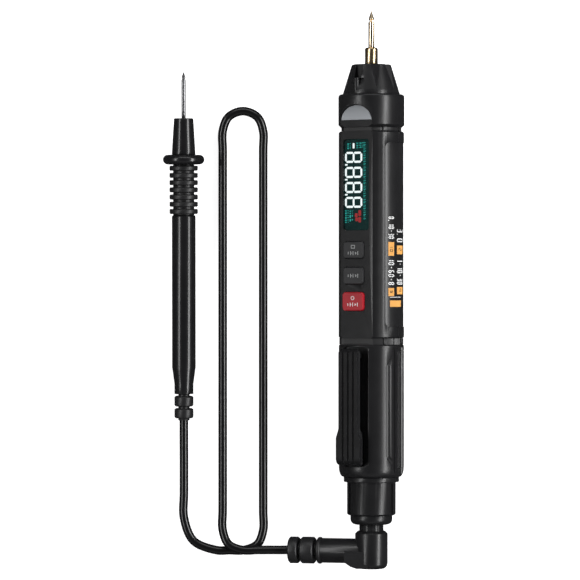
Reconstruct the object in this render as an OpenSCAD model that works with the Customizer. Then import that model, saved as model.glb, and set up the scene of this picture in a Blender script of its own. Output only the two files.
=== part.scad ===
/* [Needle] */
// Diameter of the test needle
needle_d = 2.4; // [1.8:0.1:3]
// Length of the needle in front of its ferrule
needle_out = 14.5; // [11:0.5:20]
// Length of the needle behind the ferrule's front face
needle_in = 20; // [18:0.5:22]
// Length of the pointed head
head_len = 3.6; // [2.5:0.1:5]
// Diameter of the groove behind the head
neck_d = 1.5; // [1:0.1:1.7]
// Length of the groove behind the head
neck_len = 1.1; // [0.8:0.1:2]
// Diameter of the ferrule
ferrule_d = 5; // [4.6:0.1:6]
// Length of the ferrule in front of the nose
ferrule_len = 6.6; // [4:0.1:9]
// Diameter of the ferrule's shank inside the nose
shank_d = 4; // [3.6:0.1:4.4]
// Length of the ferrule's shank inside the nose
shank_len = 7; // [5:0.5:9]

/* [Nose] */
// Length of the fluted nose cone
cone_len = 11.6; // [10:0.2:14]
// Diameter of the nose cone at its front
cone_top_d = 15.4; // [14.4:0.2:16.4]
// Diameter of the nose cone at its foot
cone_foot_d = 22.2; // [21:0.1:23]
// Number of places around the cone, one of them the torch slot
flute_count = 8; // [6:1:10]
// Depth of a flute at the cone's front edge
flute_depth = 1.9; // [1:0.1:2.2]
// Height over the cone's foot at which a flute runs out
flute_end = 1.8; // [1:0.1:3]
// Diameter of the torch light
torch_d = 1.8; // [1.2:0.1:2]
// Height of the torch boss over the cone's foot
torch_len = 6.1; // [5:0.1:7]

/* [Collar] */
// Diameter of the front collar, on which the pen lies
collar_d = 25.5; // [25:0.1:27]
// Length of the front collar
collar_len = 12.8; // [12:0.2:15]
// Distance of the collar's flat from the pen's axis
collar_flat = 10.5; // [10:0.1:11]
// Height of the indicator window's foot over the collar's rear face
window_foot = 2.3; // [2:0.1:3]
// Height of the indicator window's crown over the collar's rear face
window_crown = 8.7; // [8:0.1:10]
// Thickness of the indicator window
indicator_t = 1.2; // [0.8:0.1:1.4]

/* [Body] */
// Diameter of the main body
body_d = 25.3; // [25:0.1:25.4]
// Wall of the main body
body_wall = 1.6; // [1.2:0.1:1.8]
// Distance of the flat face from the pen's axis
face_far = 10.35; // [10.2:0.05:10.5]
// Wall behind the flat face
face_wall = 1.5; // [1.3:0.1:1.6]
// Length of the coupling ring in front of the main body
front_ring_len = 1.6; // [1.2:0.1:2.4]
// Length of the coupling ring behind the main body
rear_ring_len = 2.4; // [1.6:0.1:3.2]
// Number of lugs around a coupling ring
lug_count = 8; // [6:1:10]
// Depth of the label recess
label_depth = 0.45; // [0.3:0.05:0.6]
// Thickness of the label
label_t = 0.2; // [0.15:0.01:0.25]
// Distance between the label recess and the body's ends
label_rear = 4.3; // [3.4:0.1:8]

/* [Display] */
// Width of the display window
window_w = 11.8; // [10:0.1:12]
// Length of the display window
window_len = 35.1; // [32:0.1:36]
// Thickness of the display window
window_t = 0.9; // [0.7:0.05:1]
// Distance from the body's front end to the window's front edge
window_front = 3.1; // [3:0.1:4]
// Thickness of the display glass
lcd_t = 1.8; // [1.4:0.1:2]
// Thickness of the light carrier behind the display glass
backlight_t = 2; // [1.6:0.1:2.1]

/* [Keys] */
// Width of the two black keys
key_w = 9.3; // [8:0.1:9.6]
// Length of the two black keys
key_len = 6.6; // [5:0.1:7.6]
// Width of the red key
power_w = 9.6; // [8:0.1:9.8]
// Length of the red key
power_len = 7.1; // [6:0.1:8]
// Height of the black keys over the flat face
key_raise = 0.8; // [0.4:0.1:1.2]
// Height of the red key over the flat face
power_raise = 1.1; // [0.6:0.1:1.4]
// Distance from the body's rear end to the red key's centre
power_z = 14.2; // [12:0.2:15]
// Distance between the centres of neighbouring keys
key_pitch = 9.9; // [9.4:0.1:11]
// Distance between the front key and the display window
window_gap = 4.3; // [2.6:0.1:8]
// Travel of a key
key_travel = 0.6; // [0.4:0.05:0.6]

/* [Circuit] */
// Thickness of the circuit board
board_t = 1.2; // [0.8:0.1:1.2]
// Width of the circuit board
board_w = 19; // [18:0.2:19.4]
// Distance of the board's face from the pen's axis
board_face = 4.8; // [4.7:0.05:4.85]
// Diameter of the buzzer
buzzer_d = 9; // [8:0.5:12]
// Height of the buzzer
buzzer_h = 3.5; // [2:0.1:4]

/* [Barrel] */
// Diameter of the rear barrel
barrel_d = 25.2; // [25:0.1:25.4]
// Wall of the rear barrel and its battery cover
barrel_wall = 1.5; // [1.3:0.05:1.55]
// Depth of the rounded shoulder at the barrel's rear end
shoulder_in = 1.6; // [0.8:0.1:2]
// Length of the rounded shoulder at the barrel's rear end
shoulder_len = 4; // [3:0.2:5]
// Number of lengthwise grooves around the barrel's back
groove_count = 19; // [12:1:21]
// Depth of a lengthwise groove
groove_depth = 0.5; // [0.3:0.05:0.7]
// Distance of the clip pocket's floor from the pen's axis
pocket_floor = 10.2; // [10:0.05:10.4]
// Width of the clip pocket
pocket_w = 11.6; // [11.4:0.1:12.4]
// Length of the barrel's solid end behind the clip pocket
pocket_rear = 4.1; // [3.8:0.1:5]

/* [Clip] */
// Distance of the clip's outer face from the pen's axis
clip_far = 16.6; // [16.2:0.1:17.4]
// Width of the clip's blade
clip_w = 8.6; // [7.6:0.1:10]
// Width of the clip's root
clip_root_w = 11; // [10.2:0.1:11.2]
// Thickness of the clip's blade
clip_t = 2; // [1.6:0.1:2.4]
// Length of the clip's root
clip_root_len = 13.2; // [12:0.1:13.4]
// Opening angle of the clip
clip_angle = 5; // [3:0.5:5]

/* [Batteries] */
// Diameter of a battery cell
cell_d = 10.5; // [10:0.1:10.5]
// Length of a battery cell with its terminal
cell_len = 44.5; // [44:0.1:44.5]
// Diameter of a battery cell's terminal
cell_nub_d = 3.8; // [3:0.1:4.5]
// Height of a battery cell's terminal
cell_nub_h = 1; // [0.8:0.1:1.2]
// Height of the battery springs
spring_h = 1.8; // [1.7:0.1:2.4]
// Wire of the battery springs
spring_wire = 0.5; // [0.4:0.05:0.6]

/* [Tail] */
// Diameter of the ring on the tail cap
tail_ring_d = 21.4; // [20:0.2:22.8]
// Length of the ring on the tail cap
tail_ring_len = 2; // [1.2:0.1:3]
// Diameter of the tail cap
tail_d = 18.8; // [17.4:0.2:20]
// Length of the tail cap
tail_len = 14.8; // [14:0.2:18]
// Diameter of the nut round the jack's mouth
nut_d = 16.2; // [14:0.2:17]
// Length of the nut round the jack's mouth
nut_len = 3.7; // [3:0.1:5]

/* [Plug] */
// Diameter of the plug's pin
pin_d = 4; // [3.5:0.5:4]
// Length of the plug's pin in front of the pen's rear face
pin_len = 14; // [12:0.5:14]
// Diameter of the plug's neck and shroud
neck_out_d = 9.4; // [9.2:0.1:9.6]
// Length of the plug's shroud inside the pen
shroud_len = 12; // [8:0.5:12.5]
// Diameter of the plug's elbow
elbow_d = 12.6; // [11.6:0.2:13.6]
// Distance from the pen's rear face to the foot of the elbow
elbow_len = 17.2; // [16.6:0.1:19]
// Diameter of the plug's arm
arm_d = 9.6; // [9:0.1:10]
// Length of the plug's arm from the pen's axis
arm_len = 19.6; // [18:0.2:21]
// Diameter of the rings on the plug's boot
boot_d = 10.4; // [10:0.1:11]
// Length of the plug's boot
boot_len = 12.9; // [11:0.1:13]

/* [Lead probe] */
// Diameter of the lead probe's needle
lead_needle_d = 1.7; // [1.4:0.1:2.4]
// Length of the lead needle in front of its nose
lead_needle_out = 18.1; // [14:0.5:22]
// Length of the lead probe's nose
nose_len = 14.2; // [12:0.2:18]
// Diameter of the finger guard
guard_d = 16.1; // [15:0.1:18]
// Thickness of the finger guard
guard_t = 3.8; // [3:0.1:5]
// Number of rings on the grip sleeve
grip_rings = 7; // [5:1:9]
// Pitch of the rings on the grip sleeve
grip_pitch = 2.8; // [2.4:0.1:3.2]
// Diameter of the rings on the grip sleeve
grip_d = 11; // [10.4:0.1:12]
// Diameter of the lead probe's handle
handle_d = 9.2; // [9:0.1:9.8]
// Length of the lead probe's handle
handle_len = 59.2; // [50:0.2:70]
// Diameter of the handle's tail and its boot
handle_tail_d = 7.4; // [7:0.1:7.8]

/* [Layout] */
// Roll of the flat face away from upward, as the pen lies
roll = 34.5; // [25:0.5:40]
// Distance between the pen's axis and the lead probe's axis
lead_gap = 72.8; // [60:0.2:90]
// Place of the lead probe's rear end along the pen
probe_rear_y = -59.5; // [-60.5:0.1:-58.5]
// Diameter of the lead's cord
cord_d = 3.4; // [3:0.1:3.4]

/* [Hidden] */
$fn = 64;
// Gap of a fixed fit, gap of a moving fit, and gap round a moving key
fit = 0.04;
run = 0.06;
key_gap = 0.18;
// Overrun of a cut past the face that it opens
over = 1;
// Width of a bevel and of a rounded edge on the pen's housings
bevel = 0.5;
round_r = 1;

needle_r = needle_d / 2;
stem_in = 0.4;
needle_stem_r = needle_r - stem_in;
ferrule_r = ferrule_d / 2;
shank_r = shank_d / 2;
collar_r = collar_d / 2;
body_r = body_d / 2;
barrel_r = barrel_d / 2;
cell_r = cell_d / 2;
guard_r = guard_d / 2;
torch_r = torch_d / 2;

// Lengths of the battery barrel and of the main body, from what they hold
end_wall = 2;
plate_t = 0.4;
bay_len = cell_len + spring_h + 2 * (plate_t + fit);
barrel_len = bay_len + 2 * end_wall;
body_len = power_z + 2 * key_pitch + key_len / 2 + window_gap + window_len + window_front;
label_len = body_len - 2 * label_rear;

// Stations along the pen, from its rear face to the needle's point
z_tail = nut_len;
z_barrel = z_tail + tail_len;
z_rear_ring = z_barrel + barrel_len;
z_body = z_rear_ring + rear_ring_len;
z_front_ring = z_body + body_len;
z_collar = z_front_ring + front_ring_len;
z_cone = z_collar + collar_len;
z_ferrule = z_cone + cone_len;
z_needle = z_ferrule + ferrule_len;
pen_len = z_needle + needle_out;
pen_x = (lead_gap - collar_r + guard_r) / 2;
probe_x = pen_x - lead_gap;
reach = 2 * collar_r;

// Nose cone: its spigot in the collar, and the torch boss in the face direction
cone_slope = (cone_foot_d - cone_top_d) / 2 / cone_len;
spigot_r = 8;
spigot_len = 4;
flute_half_angle = 54;
boss_wall = 0.3;
boss_r = torch_r + boss_wall;
boss_inset = 0.15;
torch_x = cone_foot_d / 2 - boss_r - boss_inset;
torch_side = -0.55;
slot_w = 3.2;
slot_floor = 6.7;
pit_half_w = 3.2;
pit_depth = 0.9;
pit_foot_w = 0.3;

// Collar: bore, half-moon window and the light behind it
collar_bore_r = 8.5;
collar_top_wall = 2;
window_half = sqrt(collar_r * collar_r - collar_flat * collar_flat);
indicator_out = 0.15;
window_rim = 0.35;
window_steps = 10;
led_r = 1.5;
led_len = 0.8;
led_side = 0;
antenna_t = 0.3;
antenna_angle = 120;
antenna_len = 7;

// Coupling rings
front_core_r = 11.1;
front_lug_r = 11.6;
rear_core_r = 11.9;
rear_lug_r = 12.4;
lug_angle = 22;
ring_in = 0.7;
ring_spigot_r = 10.25;
ring_spigot_len = 2;
ring_bore_r = 6.8;
rear_spigot_r = 8;
rear_spigot_len = 1.8;

// Main body
body_bore_r = body_r - body_wall;
face_in = face_far - face_wall;
end_lip = 2.2;
seam = 0.04;
label_from = 58.5;
label_to = 150;
label_corner = 2.3;
label_gap = 0.04;

// Display and keys, a little left of the flat face's middle
window_side = -0.35;
window_z = z_front_ring - window_front - window_len / 2;
window_corner = 1.2;
window_ledge = 0.8;
key_side = -1.2;
key_corner = 1.3;
key_chamfer = 0.35;
flange_side = 0.5;
flange_t = 0.7;
stem_r = 1.2;
stem_len = 0.25;
press_gap = 0.1;
flange_top = face_in - 0.1;
switch_w = 4.6;
switch_foot = 1.5;
plunger_r = 1;
power_at = z_body + power_z;
key_zs = [power_at + 2 * key_pitch, power_at + key_pitch, power_at];

// Circuit
board_low = board_face - board_t;
board_rear = z_body + 2.4;
board_front = z_front_ring - 2.4;
post_t = 1.4;
post_in = 3;
part_gap = 0.05;
chip_w = 7;
chip_t = 1.2;
ptc_r = 3;
ptc_t = 2;
strip_t = 0.4;
strip_w = 2.6;
terminal_r = 5.3;
terminal_t = 0.5;

// Rear barrel and battery bay
cell_shift = -0.5;
cell_gap = 0.3;
cell_pitch = cell_d + cell_gap;
bay_gap = 0.2;
bay_low = z_barrel + end_wall;
bay_high = z_rear_ring - end_wall;
cover_rear = 3.4;
cover_front = 2.4;
cover_low = z_barrel + cover_rear;
cover_high = z_rear_ring - cover_front;
cover_seam = 0.1;
plate_half = 3.6;
groove_from = 63.5;
groove_half_w = 0.75;
groove_margin = 1.2;
groove_short = 6.7;
groove_floor = 0.9;
slant_len = 2.7;
pocket_front = 0.7;
pocket_corner = 2.5;
pocket_len = barrel_len - pocket_front - pocket_rear;
pocket_z = z_rear_ring - pocket_front - pocket_len / 2;
strip_channel = 0.1;

// Pocket clip: pivot of its root and the shapes of its ends
clip_end_gap = 0.8;
root_gap = 0.4;
clip_front = z_rear_ring - pocket_front - clip_end_gap;
root_rear = z_barrel + pocket_rear + root_gap;
root_front = root_rear + clip_root_len;
pivot_far = 8.3;
pivot_in = 7;
pivot_z = root_front - pivot_in;
trunnion_r = 0.8;
trunnion_out = 1.1;
tenon_w = 6;
tenon_half = 3.6;
tenon_front = pivot_z + tenon_half;
tenon_rear = pivot_z - tenon_half;
tenon_foot = 7.2;
slot_gap = 0.2;
slot_deep = 0.5;
nub_len = 4;
nub_from = 1.2;
nub_w = 5;
blade_inside = clip_far - clip_t;
clip_corner = 1.5;
rib_pitch = 2.35;
rib_depth = 0.45;

// Tail and jack
tail_groove_w = 1.5;
tail_groove_depth = 0.6;
nut_round = 2;
jack_bore_r = 4.95;
jack_depth = 13.4;
jack_out_r = 3;
jack_in_r = pin_d / 2 + run;
jack_flange_r = 4.2;
jack_flange_t = 1.2;
post_r = 1.5;
tail_spigot_r = 7;
tail_spigot_len = 1.8;
tail_bore_r = 5.6;
jack_back_r = 3.2;

// Plug, with its arm dipped until the boot's last ring comes to the surface
boot_clear = 0.05;
arm_reach = arm_len + boot_len;
boot_r = boot_d / 2;
plug_dip = asin((collar_r - boot_clear) / sqrt(arm_reach * arm_reach + boot_r * boot_r))
    - atan(boot_r / arm_reach);
arm_azimuth = -(90 - roll + plug_dip);
arm_rise = 6.8;
arm_z = arm_rise - elbow_len;
shroud_wall = 1.4;
elbow_top = 2.5;
elbow_round = 2.2;
heel_inset = 0.4;
heel_out = 9.5;
heel_slope = 2.4;
foot_in = 0.3;
foot_z = foot_in - elbow_len;
pin_in = 6;
boot_notch_r = 2.6;
boot_shares = [[0, 0.12], [0.22, 0.63], [0.71, 1]];
cord_seat = 2;

// Lead probe, lying on its guard and on its boot
boot_tail_len = 10.3;
tail_straight = 3.9;
tail_taper = 6.5;
probe_handle_z = boot_tail_len + tail_straight + tail_taper;
grip_z = probe_handle_z + handle_len;
grip_ring_w = 1.9;
grip_len = grip_rings * grip_pitch;
guard_z = grip_z + grip_len;
nose_z = guard_z + guard_t;
probe_len = nose_z + nose_len + lead_needle_out;
core_r = 3.4;
nose_foot_r = 4.6;
nose_top_r = 3.8;
grip_core_r = 4.1;
tail_r = handle_tail_d / 2;
probe_tilt = asin((guard_r - tail_r) / (guard_z + guard_t / 2));
probe_h = tail_r * cos(probe_tilt);
wire_r = 1.2;
lead_needle_in = 30;
lead_stem_r = lead_needle_d / 2 - stem_in;
lead_head = 2.4;
lead_neck_r = 0.6;
lead_neck_len = 0.8;
boot_ring_shares = [[0.08, 0.45], [0.53, 0.92]];

// The cord's route on the surface, from the plug's boot to the lead probe's boot
cord_z = 1.75;
cord_sides = 8;
cord_route = [
    [2.4, -109.9, 5.1], [-1, -110, 4.55], [-5, -110, 4.5], [-10, -110, 4.95],
    [-15.8, -110, 5.3], [-21.4, -107.7, 4.95], [-23.7, -102.1, 3.9], [-23.7, -95, 2.5],
    [-23.7, -86, 1.8], [-23.7, -76, 1.75], [-23.7, -40, 1.75], [-23.7, 0, 1.75],
    [-23.7, 35, 1.75], [-23.7, 46, 1.75], [-23.7, 53.1, 1.75], [-21.4, 58.7, 1.75],
    [-15.8, 61, 1.75], [-10.2, 58.7, 1.75], [-7.9, 53.1, 1.75], [-7.9, 46, 1.75],
    [-7.9, 35, 1.75], [-7.9, 0, 1.75], [-7.9, -40, 1.75], [-7.9, -80, 1.75],
    [-7.9, -95, 1.75], [-7.9, -102.4, 1.75], [-10.2, -108, 1.75], [-15.8, -110.3, 1.75],
    [-21, -110.3, 1.75], [-26.1, -110.3, 1.75], [-35.1, -106.6, 1.75], [-38.8, -97.6, 1.75],
    [-38.8, -88, 1.75], [-38.8, -76, 1.85], [-38.8, -67, 2.8], [-38.8, -59.4, 3.6]];
bend_gap = 12.5;
bend_step = 4.5;
long_step = 12;

// A round corner: points from angle a0 to a1 about a centre
function arc(c, r, a0, a1, n = 4) =
    [for (i = [0:n]) c + r * [cos(a0 + (a1 - a0) * i / n), sin(a0 + (a1 - a0) * i / n)]];

// A point between b and c on a smooth curve through a, b, c and d
function knot(t, p, q) = t + sqrt(norm(q - p));
function between(a, b, ta, tb, t) = (a * (tb - t) + b * (t - ta)) / (tb - ta);
function curve_point(a, b, c, d, s) =
    let (t1 = knot(0, a, b), t2 = knot(t1, b, c), t3 = knot(t2, c, d), t = t1 + s * (t2 - t1),
        ab = between(a, b, 0, t1, t), bc = between(b, c, t1, t2, t), cd = between(c, d, t2, t3, t),
        abc = between(ab, bc, 0, t2, t), bcd = between(bc, cd, t1, t3, t))
    between(abc, bcd, t1, t2, t);
function smooth_path(p) = let (n = len(p) - 1)
    [for (i = [0:n - 1]) let (
            before = i == 0 ? 2 * p[0] - p[1] : p[i - 1],
            after = i == n - 1 ? 2 * p[n] - p[n - 1] : p[i + 2],
            gap = norm(p[i + 1] - p[i]),
            steps = ceil(gap / (gap < bend_gap ? bend_step : long_step)))
        for (k = [0:steps - 1]) curve_point(before, p[i], p[i + 1], after, k / steps),
        p[n]];
function unit(v) = v / norm(v);

// One unbroken tube along points that stay near one plane
module swept(path, r, sides, side_up = [0, 0, 1]) {
    n = len(path) - 1;
    rings = [for (i = [0:n]) let (
            along = unit(path[min(i + 1, n)] - path[max(i - 1, 0)]),
            across = unit(cross(along, side_up)),
            up = cross(across, along))
        for (k = [0:sides - 1]) let (a = 360 * (k + 0.5) / sides)
            path[i] + r * (cos(a) * across + sin(a) * up)];
    skin = [for (i = [0:n - 1], k = [0:sides - 1]) let (
            a = i * sides + k, b = i * sides + (k + 1) % sides)
        for (face = [[a, b, b + sides], [a, b + sides, a + sides]]) face];
    first_end = [for (k = [sides - 1:-1:0]) k];
    last_end = [for (k = [0:sides - 1]) n * sides + k];
    polyhedron(concat(rings), concat([first_end], skin, [last_end]), convexity = 10);
}

// Turned piece from points of radius and height
module turned(points) rotate_extrude() polygon(points);
module tube(r_out, r_in, z0, z1)
    turned([[r_in, z0], [r_out, z0], [r_out, z1], [r_in, z1]]);
module rod(r, z0, z1) translate([0, 0, z0]) cylinder(r = r, h = z1 - z0);
// Part of a tube between two angles from the face direction
module sector(r_in, r_out, z0, z1, a0, a1)
    translate([0, 0, z0]) rotate([0, 0, a0]) rotate_extrude(angle = a1 - a0)
        translate([r_in, 0]) square([r_out - r_in, z1 - z0]);
// Block between two distances from the axis, in the face direction
module block(n0, n1, w, z0, z1, u = 0)
    translate([n0, u - w / 2, z0]) cube([n1 - n0, w, z1 - z0]);
module rounded(w, len, r) {
    square([w, len - 2 * r], center = true);
    square([w - 2 * r, len], center = true);
    for (x = [-1, 1], y = [-1, 1]) translate([x * (w / 2 - r), y * (len / 2 - r)]) circle(r = r);
}
// Rounded plate parallel to the flat face
module plate(n0, n1, w, len, r, u, z)
    translate([n0, u, z]) rotate([90, 0, 90]) linear_extrude(n1 - n0) rounded(w, len, r);
// Outline of distance and height, drawn out across the pen
module side_form(points, w)
    translate([0, w / 2, 0]) rotate([90, 0, 0]) linear_extrude(w) polygon(points);

// The pen lies on its collar, its point towards +Y and its face rolled from upward
module lay_pen()
    translate([pen_x, -pen_len / 2, collar_r])
        rotate([0, -90 - roll, 0]) rotate([-90, 0, 0]) children();
module along_arm() translate([0, 0, arm_z]) rotate([0, 0, arm_azimuth]) rotate([0, 90, 0]) children();
module lay_probe()
    translate([probe_x, probe_rear_y, probe_h]) rotate([-90 + probe_tilt, 0, 0]) children();

module probe_needle() lay_pen() color("#c9ab7c") {
    head_z = pen_len - head_len;
    fall = (needle_d - neck_d) / 4;
    turned([[0, z_needle - needle_in], [needle_stem_r, z_needle - needle_in],
        [needle_stem_r, z_needle], [needle_r, z_needle], [needle_r, head_z - neck_len],
        [neck_d / 2, head_z - neck_len + fall],
        [neck_d / 2, head_z - fall], [needle_r, head_z], [0, pen_len]]);
}

module needle_ferrule() lay_pen() color("#c2a06c")
    turned([[needle_stem_r + fit, z_ferrule - shank_len], [shank_r, z_ferrule - shank_len],
        [shank_r, z_ferrule], [ferrule_r - bevel / 2, z_ferrule], [ferrule_r, z_ferrule + bevel / 2],
        [ferrule_r, z_needle - bevel], [ferrule_r - bevel, z_needle], [needle_stem_r + fit, z_needle]]);

module needle_terminal() lay_pen() color("#b88a4c") {
    low = z_cone - spigot_len - terminal_t;
    tube(terminal_r, needle_stem_r + fit, low, low + terminal_t - fit);
    block(board_low - fit - strip_t, board_low - fit, strip_w, board_front - ring_spigot_len, low);
}

module flute(angle) {
    run_out_r = cone_foot_d / 2 - cone_slope * flute_end;
    line_r = cone_top_d / 2 - flute_depth;
    lean = atan((run_out_r - line_r) / (cone_len - flute_end));
    rotate([0, 0, angle]) translate([run_out_r, 0, z_cone + flute_end]) rotate([0, -lean, 0])
        linear_extrude(2 * cone_len) polygon([[0, 0],
            [reach, -reach * tan(flute_half_angle)], [reach, reach * tan(flute_half_angle)]]);
}

module nose_cone() lay_pen() color("#1d1d1f") {
    top = z_ferrule;
    pit_lean = atan(cone_slope);
    difference() {
        union() {
            difference() {
                turned(concat(
                    [[0, z_cone - spigot_len], [spigot_r, z_cone - spigot_len], [spigot_r, z_cone],
                        [cone_foot_d / 2, z_cone]],
                    arc([cone_top_d / 2 - bevel, top - bevel], bevel, 0, 90), [[0, top]]));
                for (i = [1:flute_count - 1]) flute(i * 360 / flute_count);
                translate([cone_foot_d / 2 - pit_depth, torch_side, z_cone]) rotate([0, -pit_lean, 0])
                    rotate([90, 0, 90]) linear_extrude(reach) polygon([
                        [-pit_half_w, torch_len], [-pit_foot_w, flute_end],
                        [pit_foot_w, flute_end], [pit_half_w, torch_len]]);
            }
            translate([torch_x, torch_side, 0]) rod(boss_r, z_cone, z_cone + torch_len);
        }
        block(slot_floor, reach, slot_w, z_cone + torch_len, top + over, torch_side);
        translate([torch_x, torch_side, 0]) rod(torch_r + fit, z_cone - fit, z_cone + torch_len + over);
        rod(shank_r + fit, top - shank_len - fit, top + over);
        rod(needle_stem_r + fit, z_cone - spigot_len - over, top);
    }
}

module torch_led() lay_pen() color("#f2f4f0") translate([torch_x, torch_side, 0]) {
    dome = z_cone + torch_len - torch_r;
    turned(concat([[0, z_cone + fit], [torch_r, z_cone + fit]], arc([0, dome], torch_r, 0, 90)));
}

// Half-moon over the collar's lower flat, between two distances from the axis
function half_moon(w, h) = [for (i = [0:2 * window_steps])
    let (a = 90 * i / window_steps) [w * cos(a), h * sin(a)]];
module moon(n0, n1, inset) translate([n0, 0, z_collar + window_foot + inset])
    rotate([90, 0, 90]) linear_extrude(n1 - n0)
        polygon(half_moon(window_half - inset, window_crown - window_foot - 2 * inset));

module front_collar() lay_pen() color("#1b1b1d") difference() {
    turned(concat(
        [[collar_bore_r, z_collar], [collar_r - round_r, z_collar], [collar_r, z_collar + round_r]],
        arc([collar_r - round_r, z_cone - round_r], round_r, 0, 90),
        [[spigot_r + fit, z_cone], [spigot_r + fit, z_cone - collar_top_wall],
            [collar_bore_r, z_cone - collar_top_wall]]));
    block(collar_flat, reach, reach, z_collar - over, z_collar + window_foot + fit);
    moon(collar_flat, reach, 0);
    moon(collar_flat - indicator_t - fit, collar_flat + over, window_rim);
    translate([0, led_side, z_collar + window_foot + led_r + bevel]) rotate([0, 90, 0])
        cylinder(r = led_r, h = collar_flat);
}

module indicator_window() lay_pen() color("#c9cdd0")
    moon(collar_flat - indicator_t, collar_flat + indicator_out, window_rim + fit);

module indicator_led() lay_pen() color("#e8e6c8")
    translate([collar_bore_r - led_len / 2, led_side, z_collar + window_foot + led_r + bevel])
        rotate([0, 90, 0]) cylinder(r = led_r - fit, h = led_len);

module ncv_antenna() lay_pen() color("#b87333")
    sector(collar_bore_r - fit - antenna_t, collar_bore_r - fit, z_cone - collar_top_wall - antenna_len,
        z_cone - collar_top_wall - fit, 180 - antenna_angle / 2, 180 + antenna_angle / 2);

module coupling_lugs(r0, r1, z0, z1) {
    for (i = [0:lug_count - 1])
        sector(r0 - bevel, r1, z0, z1, (i + 0.5) * 360 / lug_count - lug_angle / 2,
            (i + 0.5) * 360 / lug_count + lug_angle / 2);
}

module front_ring() lay_pen() color("#232325") difference() {
    union() {
        rod(front_core_r, z_front_ring, z_collar);
        coupling_lugs(front_core_r, front_lug_r, z_front_ring, z_collar);
        rod(collar_bore_r - fit, z_collar - fit, z_collar + ring_spigot_len / 2);
        rod(ring_spigot_r, z_front_ring - ring_spigot_len, z_front_ring + fit);
    }
    rod(ring_bore_r, z_front_ring - reach, z_collar + reach);
    block(face_far - ring_in, reach, reach, z_front_ring - over, z_collar + over);
    block(face_in - fit, reach, reach, z_front_ring - reach, z_front_ring);
}

module rear_ring() lay_pen() color("#232325") difference() {
    union() {
        rod(rear_core_r, z_rear_ring, z_body);
        coupling_lugs(rear_core_r, rear_lug_r, z_rear_ring, z_body);
        rod(ring_spigot_r, z_body - fit, z_body + ring_spigot_len);
        rod(rear_spigot_r - fit, z_rear_ring - rear_spigot_len, z_rear_ring + fit);
    }
    rod(ring_bore_r, z_rear_ring - reach, z_body + reach);
    block(face_far - ring_in, reach, reach, z_rear_ring - over, z_body + over);
    block(face_in - fit, reach, reach, z_body, z_body + reach);
}

// Shell of the label recess: rounded corners, wrapped round the body
module label_band(r0, r1, gap) {
    low = z_body + label_rear + gap;
    high = z_body + label_rear + label_len - gap;
    gap_a = gap / body_r * 180 / PI;
    corner_a = label_corner / body_r * 180 / PI;
    intersection() {
        tube(r1, r0, low, high);
        union() {
            sector(r0 - over, r1 + over, low, high, label_from + corner_a, label_to - corner_a);
            sector(r0 - over, r1 + over, low + label_corner, high - label_corner,
                label_from + gap_a, label_to - gap_a);
            for (a = [label_from + corner_a + gap_a / 2, label_to - corner_a - gap_a / 2],
                    z = [low + label_corner, high - label_corner])
                translate([0, 0, z]) rotate([0, 90, a]) cylinder(r = label_corner - gap / 2, h = r1 + over);
        }
    }
}

module body_shape() difference() {
    turned([[0, z_body], [body_r - bevel, z_body], [body_r, z_body + bevel],
        [body_r, z_front_ring - bevel], [body_r - bevel, z_front_ring], [0, z_front_ring]]);
    block(face_far, reach, reach, z_body - over, z_front_ring + over);
    difference() {
        turned([[0, z_body - over], [ring_spigot_r + fit, z_body - over],
            [ring_spigot_r + fit, z_body + end_lip], [body_bore_r, z_body + end_lip],
            [body_bore_r, z_front_ring - end_lip], [ring_spigot_r + fit, z_front_ring - end_lip],
            [ring_spigot_r + fit, z_front_ring + over], [0, z_front_ring + over]]);
        block(face_in, reach, reach, z_body - 2 * over, z_front_ring + 2 * over);
    }
    label_band(body_r - label_depth, body_r + over, 0);
}

module front_shell() lay_pen() color("#18181a") difference() {
    intersection() {
        body_shape();
        block(seam / 2, reach, 2 * reach, z_body - over, z_front_ring + over);
    }
    plate(face_far - window_t - fit, reach, window_w + 2 * fit, window_len + 2 * fit, window_corner,
        window_side, window_z);
    plate(0, reach, window_w - 2 * window_ledge, window_len - 2 * window_ledge, window_corner / 2,
        window_side, window_z);
    for (i = [0:2]) {
        w = i == 2 ? power_w : key_w;
        len = i == 2 ? power_len : key_len;
        plate(0, reach, w + 2 * key_gap, len + 2 * key_gap, key_corner + key_gap, key_side, key_zs[i]);
    }
}

module back_shell() lay_pen() color("#18181a") {
    intersection() {
        body_shape();
        block(-reach, -seam / 2, 2 * reach, z_body - over, z_front_ring + over);
    }
    // Two walls that carry the circuit board
    for (z = [board_rear + post_in, board_front - post_in - post_t])
        difference() {
            intersection() {
                union() {
                    rod(body_bore_r - 2 * seam, z, z + post_t);
                    difference() {
                        rod(body_bore_r + bevel, z, z + post_t);
                        block(-seam / 2, reach, 2 * reach, z - over, z + post_t + over);
                    }
                }
                block(-reach, board_low - fit, 2 * reach, z, z + post_t);
            }
            block(-cell_r, board_face, board_w / 2, z - over, z + post_t + over);
        }
}

module display_window() lay_pen() color("#0c1a1c")
    plate(face_far - window_t, face_far - fit, window_w, window_len, window_corner, window_side, window_z);

lcd_w = window_w - window_ledge;
lcd_high = face_in - part_gap;
module lcd_glass() lay_pen() color("#0f2a2c")
    plate(lcd_high - lcd_t, lcd_high, lcd_w, window_len, window_corner / 2, window_side, window_z);
module backlight() lay_pen() color("#dfe6e4")
    plate(board_face + fit, lcd_high - lcd_t - fit, lcd_w, window_len + round_r, window_corner / 2,
        window_side, window_z);

module circuit_board() lay_pen() color("#1c5a34")
    block(board_low, board_face, board_w, board_rear, board_front);

module board_chips() lay_pen() color("#17181a") {
    block(board_low - chip_t, board_low - fit, chip_w, window_z, window_z + chip_w);
    block(board_low - chip_t, board_low - fit, chip_w / 2, window_z - 2 * chip_w, window_z - chip_w,
        chip_w / 2);
    translate([board_low - ptc_t, 0, key_zs[0]]) rotate([0, 90, 0]) cylinder(r = ptc_r, h = ptc_t - fit);
}

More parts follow.
